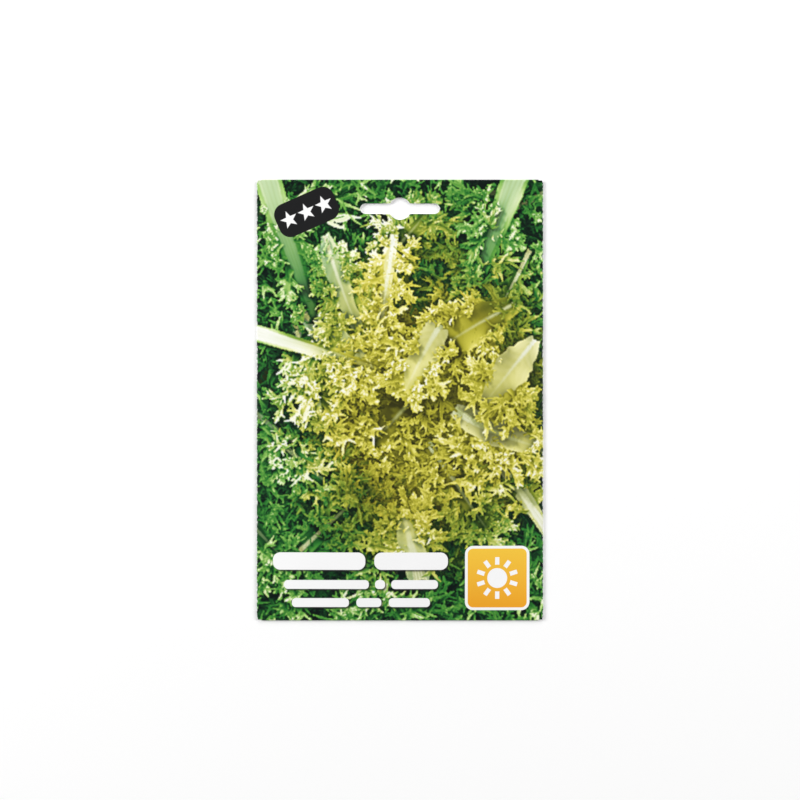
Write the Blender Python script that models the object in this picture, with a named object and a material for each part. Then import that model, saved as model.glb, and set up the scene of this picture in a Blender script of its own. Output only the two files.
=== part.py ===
"""Seed packet with a hang slot: one sheet of printed paper, folded and glued round a foil sachet of loose seeds.

The packet lies on its back. +X runs across the printed front, +Y towards the hang slot, +Z out of the front.
The sheet is one piece: the front panel, a back panel hinged on each side fold, which lap down the middle of
the back, and a flap at each end, folded over the back. Glue lines are left as thin gaps between its layers.
"""

import math
import random

import bmesh
import bpy
from mathutils import Matrix, Vector

WIDTH = 0.115
HEIGHT = 0.177
PAPER = 0.00015
GLUE = 0.00005
BELLY = 0.0038
HEADER = 0.0265
END_MARGIN = 0.0025

LAP = 0.012
LAP_RAMP = 0.004
BOTTOM_FLAP = 0.016
TOP_FLAP = 0.024
FLAP_INSET = 0.0015
FLAP_TAPER = 0.004
SIDE_RELIEF = 0.0008
SAG_RUN = 0.008

SLOT_LENGTH = 0.032
SLOT_BAR = 0.0042
SLOT_HUMP = 0.009
SLOT_FROM_TOP = 0.0117

SACHET_WIDTH = 0.080
SACHET_HEIGHT = 0.104
SACHET_SEAL = 0.006
SACHET_BELLY = 0.0022
FOIL = 0.0001
CLEARANCE = 0.0003

SEED_COUNT = 44
SEED_LENGTH = 0.0030
SEED_WIDTH = 0.0012
SEED_THICKNESS = 0.0009
SEED_SPREAD_X = 0.021
SEED_SPREAD_Y = 0.029
SEED_SPACING = 0.0036

FRONT_COLUMNS = 16
ROWS = 26
FOLD_STEPS = 4

# Heights of the sheet's middle surface where its layers are stacked: flap, outer lap, inner lap, front.
LAYER = [PAPER / 2 + n * (PAPER + GLUE) for n in range(4)]
FOLD_BULGE = (LAYER[3] - LAYER[0]) / 2
HALF_X = WIDTH / 2 - FOLD_BULGE - PAPER / 2
HALF_Y = HEIGHT / 2 - FOLD_BULGE - PAPER / 2

POUCH_TOP = HEIGHT / 2 - HEADER
POUCH_BOTTOM = -HEIGHT / 2 + END_MARGIN
POUCH_MIDDLE = (POUCH_TOP + POUCH_BOTTOM) / 2
POUCH_HALF = (POUCH_TOP - POUCH_BOTTOM) / 2
SLOT_Y = HEIGHT / 2 - SLOT_FROM_TOP

BACK_INSIDE = LAYER[1] + PAPER / 2
SACHET_BACK_Z = BACK_INSIDE + CLEARANCE
SEED_FLOOR = SACHET_BACK_Z + FOIL + CLEARANCE


def clear_scene():
    for obj in list(bpy.data.objects):
        bpy.data.objects.remove(obj)


def material(name, colour, roughness, metallic=0.0):
    made = bpy.data.materials.new(name)
    made.use_nodes = True
    shader = made.node_tree.nodes["Principled BSDF"]
    shader.inputs["Base Color"].default_value = (*colour, 1.0)
    shader.inputs["Roughness"].default_value = roughness
    shader.inputs["Metallic"].default_value = metallic
    return made


def add_object(name, mesh, finish, smooth_angle=40):
    mesh.shade_smooth()
    mesh.set_sharp_from_angle(angle=math.radians(smooth_angle))
    mesh.materials.append(finish)
    obj = bpy.data.objects.new(name, mesh)
    bpy.context.scene.collection.objects.link(obj)
    return obj


def mesh_from(name, points, faces):
    mesh = bpy.data.meshes.new(name)
    mesh.from_pydata(points, [], faces)
    mesh.validate()
    return mesh


def ease(value):
    """A smooth step from 0 to 1."""
    value = min(1.0, max(0.0, value))
    return value * value * (3 - 2 * value)


def evenly(low, high, steps):
    return [low + (high - low) * n / steps for n in range(steps + 1)]


def front_height(x, y):
    """The front panel is flat along its edges and in the header, and swells over the sachet."""
    across = max(0.0, 1 - (x / HALF_X) ** 2)
    along = max(0.0, 1 - ((y - POUCH_MIDDLE) / POUCH_HALF) ** 2)
    return LAYER[3] + BELLY * across * along


def flap_lift(y):
    """How far the end flaps hold the back panels up: one layer at the ends, none in the middle."""
    flap = TOP_FLAP if y > 0 else BOTTOM_FLAP
    edge = HALF_Y - flap
    return (PAPER + GLUE) * ease((abs(y) - edge + SAG_RUN) / (SAG_RUN - SIDE_RELIEF))


def left_back_height(x, y):
    return LAYER[0] + flap_lift(y)


def right_back_height(x, y):
    """The right panel lies on the left one where they lap, and comes down beside it."""
    over_lap = 1 - ease((x - LAP / 2 - SIDE_RELIEF) / LAP_RAMP)
    return left_back_height(x, y) + (PAPER + GLUE) * over_lap


class Sheet:
    """Collects the points and faces of a folded sheet's middle surface."""

    def __init__(self):
        self.points = []
        self.faces = []

    def line(self, points):
        first = len(self.points)
        self.points.extend(points)
        return list(range(first, len(self.points)))

    def join(self, lines):
        for one, two in zip(lines, lines[1:]):
            for a, b, c, d in zip(one, one[1:], two[1:], two):
                self.faces.append((a, b, c, d))


def side_fold(x_side, y, z_front, z_back):
    """Points round a side fold, between the front panel's edge and the back panel's, both left out."""
    middle, radius = (z_front + z_back) / 2, (z_front - z_back) / 2
    turns = [math.pi * n / FOLD_STEPS for n in range(1, FOLD_STEPS)]
    side = math.copysign(1, x_side)
    return [(x_side + side * FOLD_BULGE * math.sin(t), y, middle + radius * math.cos(t)) for t in turns]


def end_flap(sheet, edge_line, end, length):
    """Extends the front panel past its end, round the fold and back under the back panels."""
    columns = [sheet.points[i] for i in edge_line]
    middle, radius = (LAYER[3] + LAYER[0]) / 2, (LAYER[3] - LAYER[0]) / 2
    lines = [edge_line]
    for n in range(1, FOLD_STEPS + 1):
        turn = math.pi * n / FOLD_STEPS
        y = end * (HALF_Y + FOLD_BULGE * math.sin(turn))
        lines.append(sheet.line([(x, y, middle + radius * math.cos(turn)) for x, _, _ in columns]))
    for share in (0.5, 1.0):
        narrowed = 1 - share * FLAP_TAPER / HALF_X
        y = end * (HALF_Y - share * length)
        lines.append(sheet.line([(x * narrowed, y, LAYER[0]) for x, _, _ in columns]))
    sheet.join(lines if end < 0 else lines[::-1])


def folded_sheet():
    inner_rows = evenly(-HALF_Y + SIDE_RELIEF, HALF_Y - SIDE_RELIEF, ROWS - 2)
    rows = [-HALF_Y, *inner_rows, HALF_Y]
    inner_columns = evenly(-HALF_X + FLAP_INSET, HALF_X - FLAP_INSET, FRONT_COLUMNS - 2)
    columns = [-HALF_X, *inner_columns, HALF_X]
    left_xs = evenly(-HALF_X, LAP / 2, 4)
    ramp_start = LAP / 2 + SIDE_RELIEF
    right_xs = [HALF_X, HALF_X / 2, *evenly(ramp_start + LAP_RAMP, ramp_start, 3), -LAP / 2]

    sheet = Sheet()
    front = [sheet.line([(x, y, front_height(x, y)) for x in columns]) for y in rows]
    sheet.join([line[::-1] for line in front])
    left, right = [], []
    for y, line in zip(rows[1:-1], front[1:-1]):
        z_back = left_back_height(-HALF_X, y)
        back = [(x, y, left_back_height(x, y)) for x in left_xs]
        left.append([line[0], *sheet.line(side_fold(-HALF_X, y, LAYER[3], z_back) + back)])
        z_back = right_back_height(HALF_X, y)
        back = [(x, y, right_back_height(x, y)) for x in right_xs]
        right.append([line[-1], *sheet.line(side_fold(HALF_X, y, LAYER[3], z_back) + back)])
    sheet.join(left)
    sheet.join([line[::-1] for line in right])
    end_flap(sheet, front[0][1:-1], -1, BOTTOM_FLAP)
    end_flap(sheet, front[-1][1:-1], 1, TOP_FLAP)
    return mesh_from("envelope", sheet.points, sheet.faces)


def slot_outline():
    """The hang slot: a bar with round ends, and a round hump across its middle."""
    bar, hump = SLOT_BAR / 2, SLOT_HUMP / 2
    end = SLOT_LENGTH / 2 - bar
    meet = math.asin(bar / hump)
    points = []
    for turn in evenly(-math.pi / 2, math.pi / 2, 8):
        points.append((end + bar * math.cos(turn), bar * math.sin(turn)))
    for turn in evenly(meet, math.pi - meet, 12):
        points.append((hump * math.cos(turn), hump * math.sin(turn)))
    return points + [(-x, -y) for x, y in points]


def slot_cutter():
    outline = [Vector((x, y + SLOT_Y, -BELLY)) for x, y in slot_outline()]
    shape = bmesh.new()
    face = shape.faces.new([shape.verts.new(point) for point in outline])
    grown = bmesh.ops.extrude_face_region(shape, geom=[face])["geom"]
    moved = [part for part in grown if isinstance(part, bmesh.types.BMVert)]
    bmesh.ops.translate(shape, verts=moved, vec=(0, 0, 3 * BELLY))
    bmesh.ops.recalc_face_normals(shape, faces=shape.faces)
    mesh = bpy.data.meshes.new("slot_cutter")
    shape.to_mesh(mesh)
    shape.free()
    cutter = bpy.data.objects.new("slot_cutter", mesh)
    bpy.context.scene.collection.objects.link(cutter)
    cutter.hide_render = True
    cutter.display_type = "WIRE"
    return cutter


def make_envelope():
    paper = material("printed_paper", (0.36, 0.48, 0.12), 0.42)
    envelope = add_object("envelope", folded_sheet(), paper)
    solid = envelope.modifiers.new("paper thickness", "SOLIDIFY")
    solid.thickness = PAPER
    solid.offset = 0.0
    solid.use_even_offset = True
    cut = envelope.modifiers.new("hang slot", "BOOLEAN")
    cut.operation = "DIFFERENCE"
    cut.solver = "EXACT"
    cut.object = slot_cutter()


def foil_web(name, height_at, finish, columns, rows):
    """One web of the sachet: a sheet of foil laminate whose lower face follows height_at."""
    xs = evenly(-SACHET_WIDTH / 2, SACHET_WIDTH / 2, columns)
    ys = evenly(-SACHET_HEIGHT / 2, SACHET_HEIGHT / 2, rows)
    sheet = Sheet()
    lines = [sheet.line([(x, y + POUCH_MIDDLE, height_at(x, y)) for x in xs]) for y in ys]
    sheet.join([line[::-1] for line in lines])
    web = add_object(name, mesh_from(name, sheet.points, sheet.faces), finish)
    solid = web.modifiers.new("foil thickness", "SOLIDIFY")
    solid.thickness = FOIL
    solid.offset = 0.0


def make_sachet():
    foil = material("sachet_foil", (0.75, 0.76, 0.78), 0.28, 1.0)
    inner_x = SACHET_WIDTH / 2 - SACHET_SEAL
    inner_y = SACHET_HEIGHT / 2 - SACHET_SEAL
    back_z = SACHET_BACK_Z + FOIL / 2

    def swollen(x, y):
        across = max(0.0, 1 - (x / inner_x) ** 4)
        along = max(0.0, 1 - (y / inner_y) ** 4)
        return back_z + FOIL + CLEARANCE + SACHET_BELLY * across * along

    foil_web("sachet_back_foil", lambda x, y: back_z, foil, 1, 1)
    foil_web("sachet_front_foil", swollen, foil, 12, 16)


def seed_mesh():
    """A chicory-family seed: a five-sided wedge, blunt where it was joined and narrow at its foot."""
    stations = [(0.0, 0.22), (0.12, 0.45), (0.55, 0.88), (0.9, 1.0), (1.0, 0.72)]
    sides = 5
    points, faces = [], []
    for along, size in stations:
        for n in range(sides):
            turn = 2 * math.pi * (n + 0.25) / sides
            y = SEED_WIDTH / 2 * size * math.cos(turn)
            z = SEED_THICKNESS / 2 * size * math.sin(turn)
            points.append(((along - 0.5) * SEED_LENGTH, y, z))
    for ring in range(len(stations) - 1):
        for n in range(sides):
            a, b = ring * sides + n, ring * sides + (n + 1) % sides
            faces.append((a, b, b + sides, a + sides))
    faces.append(tuple(range(sides))[::-1])
    last = (len(stations) - 1) * sides
    faces.append(tuple(range(last, last + sides)))
    mesh = mesh_from("seed", points, faces)
    shape = bmesh.new()
    shape.from_mesh(mesh)
    bmesh.ops.recalc_face_normals(shape, faces=shape.faces)
    shape.to_mesh(mesh)
    shape.free()
    return mesh


def seed_places():
    """Seeds lie loose in one layer, none nearer to another than the spacing."""
    chance = random.Random(11)
    places = []
    while len(places) < SEED_COUNT:
        x = chance.uniform(-SEED_SPREAD_X, SEED_SPREAD_X)
        y = chance.uniform(-SEED_SPREAD_Y, SEED_SPREAD_Y)
        inside = (x / SEED_SPREAD_X) ** 2 + (y / SEED_SPREAD_Y) ** 2 < 1
        apart = all(math.hypot(x - a, y - b) > SEED_SPACING for a, b, _ in places)
        if inside and apart:
            places.append((x, y, chance.uniform(0, 2 * math.pi)))
    return places


def make_seeds():
    husk = material("seed_husk", (0.42, 0.33, 0.22), 0.75)
    mesh = seed_mesh()
    mesh.materials.append(husk)
    mesh.shade_flat()
    for number, (x, y, turn) in enumerate(seed_places(), start=1):
        seed = bpy.data.objects.new(f"seed_{number:02d}", mesh)
        bpy.context.scene.collection.objects.link(seed)
        seed.location = (x, y + POUCH_MIDDLE, SEED_FLOOR + SEED_THICKNESS / 2)
        seed.rotation_euler = (0, 0, turn)


clear_scene()
make_envelope()
make_sachet()
make_seeds()
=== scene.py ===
"""Seed packet with a hang slot: the looks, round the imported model. Metres, +Z out of the printed front."""

import math

import bpy
import numpy as np
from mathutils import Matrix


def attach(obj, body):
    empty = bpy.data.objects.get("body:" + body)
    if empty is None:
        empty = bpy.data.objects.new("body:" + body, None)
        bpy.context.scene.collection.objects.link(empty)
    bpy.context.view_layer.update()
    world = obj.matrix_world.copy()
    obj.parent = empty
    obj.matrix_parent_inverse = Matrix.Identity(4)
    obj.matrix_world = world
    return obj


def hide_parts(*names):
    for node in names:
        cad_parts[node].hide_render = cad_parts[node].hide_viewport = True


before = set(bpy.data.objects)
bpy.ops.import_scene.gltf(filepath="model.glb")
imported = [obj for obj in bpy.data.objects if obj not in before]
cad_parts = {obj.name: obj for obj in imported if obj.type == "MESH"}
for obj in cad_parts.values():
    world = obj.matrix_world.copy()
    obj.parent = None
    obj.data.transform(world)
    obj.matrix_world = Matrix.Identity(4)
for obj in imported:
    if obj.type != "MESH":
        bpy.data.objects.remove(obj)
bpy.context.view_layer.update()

# ---------------------------------------------------------------------------------------------------------
# The printed picture: a head of curled endive among its outer leaves, seen from above. Every leaf is grown as
# a curved strip with a white rib, lobes grow from its edges, and shoots and teeth from theirs. The highest
# leaf at each spot is what shows, and open or shaded places are told from the heights. All in millimetres.

PICTURE_WIDTH = 117.6
PICTURE_HEIGHT = 179.6
PICTURE_CELL = 0.27
SAMPLE_GAP = 0.22

LEAF_BATCH = 30
SHOOT_BATCH = 8000

LEAF_STEPS = 16
LOBE_STEPS = 7
SHOOT_STEPS = 5
TOOTH_STEPS = 3
SHOOT_STATIONS = (2, 3, 5, 6, 7)
TOOTH_STATIONS = (1, 3, 4)
PLANT_SEED = 7
GOLDEN_ANGLE = math.pi * (3 - math.sqrt(5))
UP = np.array([0, 0, 1.0])

HEART_LEAVES = 30
HEART_AT = (4, -4)
OUTER_LEAVES = 70

# Leaves laid one by one: start, end, height, dip of the start, half widths of rib and blade, tone from 0 in
# the pale heart to 1 in the green leaves, and the share of the length that is bare before the lobes.
LAID_LEAVES = [
    ((-66, 29), (-8, 14), 48, 6, 3.2, 1.0, 0.40, 0.50),
    ((-60, 112), (-34, 30), 34, 2, 5.4, 1.6, 0.90, 0.35),
    ((54, 108), (28, 44), 34, 2, 5.4, 1.6, 0.85, 0.40),
    ((8, -72), (2, -40), 52, 16, 2.8, 3.6, 0.00, 0.35),
    ((54, 24), (33, -4), 56, 14, 0.9, 6.4, 0.12, 0.45),
    ((64, -60), (30, -4), 40, 14, 1.8, 1.6, 0.30, 0.25),
    ((-2, 68), (-8, 18), 50, 22, 1.2, 1.2, 0.20, 0.08),
    ((-30, 66), (-15, 18), 50, 24, 1.1, 3.4, 0.10, 0.06),
    ((-42, 30), (-33, -12), 44, 18, 0.9, 0.6, 0.30, 0.12),
    ((18, 34), (0, 2), 58, 16, 1.4, 5.0, 0.00, 0.40),
    ((48, 40), (6, 18), 48, 16, 0.8, 6.5, 0.40, 0.25),
    ((-38, 34), (-6, 6), 50, 18, 1.0, 5.0, 0.10, 0.20),
    ((52, 60), (28, 14), 40, 22, 1.1, 1.2, 0.60, 0.20),
    ((-68, 2), (-30, -26), 26, 10, 1.6, 2.4, 0.90, 0.12),
    ((60, 84), (16, 58), 26, 14, 1.3, 3.0, 0.95, 0.12),
    ((8, -12), (38, -60), 38, 20, 1.6, 2.5, 0.45, 0.15),
    ((-48, -70), (-8, -22), 34, 20, 1.3, 3.0, 0.40, 0.15),
    ((-70, -40), (-38, -70), 18, 10, 1.2, 2.0, 1.10, 0.08),
    ((-2, -98), (28, -72), 14, 10, 1.2, 1.5, 1.10, 0.08),
    ((12, 8), (-14, -20), 26, 6, 1.2, 5.0, 0.40, 0.20),
    ((-16, 0), (18, -14), 22, 6, 1.2, 5.0, 0.40, 0.20),
    ((22, -4), (56, -30), 50, 16, 1.6, 4.5, 0.10, 0.25),
    ((-16, 44), (12, 78), 30, 14, 1.2, 2.0, 0.60, 0.12),
    ((-62, -4), (-20, -46), 30, 16, 1.4, 2.4, 0.70, 0.15),
]

# Hollows between the leaves and places that catch the light: middle, reach, and the share of light lost,
# which is less than nothing where light is gained.
HOLLOWS = [
    (18, 55, 8, 0.50), (42, 40, 10, 0.42), (-26, -54, 11, 0.55), (-16, -33, 7, 0.50), (0, -8, 6, 0.32),
    (-52, -44, 8, 0.20), (28, -50, 9, 0.35), (-36, 48, 8, 0.20), (-6, -42, 8, 0.40), (10, 26, 6, 0.25),
    (46, 0, 12, 0.32), (14, -32, 12, 0.15), (24, -74, 14, 0.20), (-12, 74, 12, -0.25), (14, 80, 10, 0.20),
    (5, 13, 5, -0.20), (41, 8, 7, -0.25), (4, -56, 6, -0.30), (-44, 16, 9, -0.22), (-10, -14, 6, -0.10),
    (46, -22, 8, -0.10), (-34, 4, 9, -0.10), (-30, -14, 8, 0.15), (30, 4, 8, 0.20), (-46, -18, 12, -0.28),
    (-14, 32, 12, 0.12),
]

# Inks from deep shade to full light, as (share of the light, red, green, blue out of 255).
HEART_INK = [(0, 54, 54, 16), (0.2, 108, 107, 28), (0.42, 162, 158, 44), (0.65, 205, 199, 74),
             (0.84, 232, 224, 122), (1.05, 252, 249, 222)]
LIME_INK = [(0, 22, 44, 16), (0.2, 70, 92, 26), (0.42, 122, 144, 44), (0.68, 172, 184, 72),
            (0.86, 212, 216, 126), (1.05, 246, 247, 214)]
GREEN_INK = [(0, 4, 22, 16), (0.2, 18, 66, 30), (0.42, 46, 122, 46), (0.68, 102, 164, 66),
             (0.88, 166, 206, 114), (1.05, 234, 242, 204)]
RIB_INK = [(0, 104, 112, 44), (0.3, 166, 174, 104), (0.6, 216, 220, 174), (1, 250, 251, 240)]
GROUND_INK = (30, 44, 16)

# The sun over the leaves, how near and far its shadows are sought, and over what reaches the sky is hidden.
SUN_WAY = (-0.45, 0.55, 0.75)
SHADOW_REACH = (0.5, 14)
SHADOW_STEPS = 14
SKY_REACHES = (1.0, 3.0, 8.0)
SKY_LOSS = 0.30

# Where the leaves are palest, and how far out they turn green.
PALE_MIDDLE = (12, -2)
PALE_SPREAD = (50, 64)

# How far the blanched laid leaves fade to white, and how far fine detail is sharpened for the press.
PALE_HEART = 0.55
PRINT_EDGE = 0.65


def unit(vectors):
    return vectors / np.maximum(np.linalg.norm(vectors, axis=-1, keepdims=True), 1e-9)


def turned(vectors, axis, angle):
    """Vectors turned about an axis at right angles to them, or nearly so."""
    cosine, sine = np.cos(angle)[..., None], np.sin(angle)[..., None]
    along = axis * np.sum(axis * vectors, -1, keepdims=True)
    return vectors * cosine + np.cross(axis, vectors) * sine + along * (1 - cosine)


def eased(value):
    """A smooth step from 0 to 1."""
    value = np.clip(value, 0, 1)
    return value * value * (3 - 2 * value)


class Strips:
    """Many strips of leaf, each grown along its own curved middle line."""

    def __init__(self, start, way, face, length, pitch, yaw, roll, leaf, order):
        self.steps = pitch.shape[1]
        face = unit(face - way * np.sum(face * way, -1, keepdims=True))
        places, ways, faces = [start], [way], [face]
        for step in range(self.steps):
            side = np.cross(face, way)
            way = turned(way, side, pitch[:, step])
            face = turned(face, side, pitch[:, step])
            way = unit(turned(way, face, yaw[:, step]))
            face = turned(face, way, roll[:, step])
            face = unit(face - way * np.sum(face * way, -1, keepdims=True))
            places.append(places[-1] + way * (length / self.steps)[:, None])
            ways.append(way)
            faces.append(face)
        self.places = np.stack(places, 1).astype(np.float32)
        self.ways = np.stack(ways, 1).astype(np.float32)
        self.faces = np.stack(faces, 1).astype(np.float32)
        self.sides = np.cross(self.faces, self.ways)
        self.length, self.leaf, self.order = length, leaf, order
        self.along = np.linspace(0, 1, self.steps + 1)[None, :]

    def widen(self, chance, half, cup, ruffle, waves):
        """Gives each strip its half width, and a margin that cups and ruffles as many times as waves says."""
        count = len(self.length)
        self.half = half.astype(np.float32)
        self.cup, self.ruffle, self.waves = cup, ruffle, waves
        self.phase = chance.uniform(0, 2 * math.pi, (count, 2))
        self.tint = chance.random(count)

    def shoots(self, chance, stations, size, angle, curl, steps, twist, stray):
        """The next order of strips, which leave both edges of these at the stations."""
        starts = []
        for side in (-1, 1):
            for station in stations:
                length = size(station / self.steps) * np.exp(chance.normal(0, 0.25, len(self.length)))
                lean = angle + chance.normal(0, 0.25, len(length))
                tilt = chance.normal(0, stray, (len(length), 3))
                out, way = side * self.sides[:, station], self.ways[:, station]
                face = self.faces[:, station]
                start = self.places[:, station] + out * (self.half[:, station] * 0.8)[:, None]
                new_way = way * np.cos(lean)[:, None] + out * np.sin(lean)[:, None] + face * tilt[:, :1]
                new_face = face + out * tilt[:, 1:2] + way * tilt[:, 2:]
                starts.append((start, unit(new_way), new_face, length, self.leaf, np.full(len(length), side)))
        start, way, face, length, leaf, side = (np.concatenate(parts) for parts in zip(*starts))
        seen = (np.abs(start[:, 0]) < PICTURE_WIDTH / 2 + length) & (length > 0.4)
        seen &= np.abs(start[:, 1]) < PICTURE_HEIGHT / 2 + length
        start, way, face, length, leaf, side = (a[seen] for a in (start, way, face, length, leaf, side))
        count, root = len(length), math.sqrt(steps)
        pitch = chance.normal(0, curl, (count, 1)) / steps
        pitch = pitch + chance.normal(0, curl * 0.5, (count, steps)) / root
        yaw = (chance.normal(0, curl * 0.5, (count, 1)) - side[:, None] * 0.3) / steps
        yaw = yaw + chance.normal(0, curl * 0.3, (count, steps)) / root
        roll = np.repeat(chance.normal(0, twist, (count, 1)) / steps, steps, 1)
        return Strips(start, way, face, length, pitch, yaw, roll, leaf, self.order + 1)

    def samples(self, pick, per_step, across):
        """Points of the picked strips, with their normals, shares along and across, and strip numbers."""
        place_on = np.arange(self.steps * per_step + 1) / per_step
        low = np.minimum(place_on.astype(int), self.steps - 1)
        share = (place_on - low).astype(np.float32)

        def between(values):
            weight = share.reshape((1, -1) + (1,) * (values.ndim - 2))
            return values[pick][:, low] * (1 - weight) + values[pick][:, low + 1] * weight

        place, way, face, side = (between(a) for a in (self.places, self.ways, self.faces, self.sides))
        half = between(self.half)[:, :, None]
        s = np.linspace(-1, 1, across, dtype=np.float32)[None, None, :]
        t = (place_on / self.steps).astype(np.float32)[None, :, None]
        waves, ruffle, cup = (a[pick][:, None, None] for a in (self.waves, self.ruffle, self.cup))
        phase = np.where(s > 0, self.phase[pick, 0][:, None, None], self.phase[pick, 1][:, None, None])
        lift = cup + ruffle * np.sin(waves * t + phase)
        rise = s * s * lift * half
        slope_across = 2 * s * lift
        slope_along = s * s * half * ruffle * np.cos(waves * t + phase) * waves
        slope_along = slope_along / self.length[pick][:, None, None]
        spot = place[:, :, None] + side[:, :, None] * (s * half)[..., None]
        spot = spot + face[:, :, None] * rise[..., None]
        normal = face[:, :, None] - side[:, :, None] * slope_across[..., None]
        normal = normal - way[:, :, None] * slope_along[..., None]
        full = spot.shape[:3]
        t, s, own = (np.broadcast_to(a, full).reshape(-1) for a in (t, s, pick[:, None, None]))
        return spot.reshape(-1, 3), normal.reshape(-1, 3), t, s, own


class Canvas:
    """What shows at each cell of the picture: the highest strip there, and where on it the cell is."""

    def __init__(self):
        self.columns = round(PICTURE_WIDTH / PICTURE_CELL)
        self.rows = round(PICTURE_HEIGHT / PICTURE_CELL)
        cells = self.columns * self.rows
        self.height = np.full(cells, -60.0, np.float32)
        self.normal = np.tile(np.float32([0, 0, 1]), (cells, 1))
        self.t, self.s, self.tint, self.rib = (np.zeros(cells, np.float32) for _ in range(4))
        self.leaf, self.order = np.full(cells, -1), np.full(cells, -1)

    def lay(self, strips, rib=None):
        """Lays strips over the picture. rib is the rib's share of the blade at each step of each strip."""
        across = max(3, math.ceil(2 * np.percentile(strips.half.max(1), 90) / SAMPLE_GAP))
        by_length = np.argsort(strips.length, kind="stable")
        batch = LEAF_BATCH if strips.order == 0 else SHOOT_BATCH
        for pick in np.array_split(by_length, math.ceil(len(by_length) / batch)):
            per_step = max(2, math.ceil(strips.length[pick].max() / strips.steps / SAMPLE_GAP))
            spot, normal, t, s, own = strips.samples(pick, per_step, across)
            column = np.floor((spot[:, 0] + PICTURE_WIDTH / 2) / PICTURE_CELL).astype(np.int64)
            row = np.floor((PICTURE_HEIGHT / 2 - spot[:, 1]) / PICTURE_CELL).astype(np.int64)
            inside = (column >= 0) & (column < self.columns) & (row >= 0) & (row < self.rows)
            source = np.nonzero(inside)[0]
            cell = row[source] * self.columns + column[source]
            higher = spot[source, 2] > self.height[cell]
            source, cell = source[higher], cell[higher]
            order = np.argsort(spot[source, 2], kind="stable")
            winner = np.full(len(self.height), -1)
            winner[cell[order]] = source[order]
            cell = np.nonzero(winner >= 0)[0]
            source = winner[cell]
            strip = own[source]
            self.height[cell], self.normal[cell] = spot[source, 2], normal[source]
            self.t[cell], self.s[cell] = t[source], s[source]
            self.leaf[cell], self.tint[cell] = strips.leaf[strip], strips.tint[strip]
            self.order[cell] = strips.order
            self.rib[cell] = 0
            if rib is not None:
                self.rib[cell] = rib[strip, np.rint(t[source] * strips.steps).astype(int)]

    def close_pinholes(self):
        """Fills a cell that lies far below most of its neighbours with the middle one of them."""
        index = np.arange(len(self.height)).reshape(self.rows, self.columns)
        padded = np.pad(index, 1, mode="edge")
        shifts = [(a, b) for a in range(3) for b in range(3) if (a, b) != (1, 1)]
        near = np.stack([padded[a : a + self.rows, b : b + self.columns].ravel() for a, b in shifts])
        for _ in range(2):
            ranked = np.take_along_axis(near, np.argsort(self.height[near], 0), 0)
            hole = self.height[ranked[3]] - self.height > 0.5
            filler = ranked[4][hole]
            shown = (self.height, self.normal, self.t, self.s, self.leaf, self.order, self.tint, self.rib)
            for values in shown:
                values[hole] = values[filler]


def blurred(plane, spread):
    """A plane of values softened by a bell curve, its edges mirrored."""
    margin = int(3 * spread) + 1
    soft = np.pad(plane, margin, mode="reflect")
    for axis in (0, 1):
        waves = np.fft.rfftfreq(soft.shape[axis])
        gain = np.exp(-2 * (math.pi * spread * waves) ** 2)
        gain = gain[:, None] if axis == 0 else gain[None, :]
        soft = np.fft.irfft(np.fft.rfft(soft, axis=axis) * gain, n=soft.shape[axis], axis=axis)
    return soft[margin:-margin, margin:-margin]


def set_off(x, y, z, heading, slope):
    """Starts, directions and faces of leaves that set off along a heading at a slope."""
    out = np.stack([np.cos(heading), np.sin(heading), 0 * heading], 1)
    cosine, sine = np.cos(slope)[:, None], np.sin(slope)[:, None]
    return np.stack([x, y, z], 1), out * cosine + UP * sine, UP * cosine - out * sine


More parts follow.
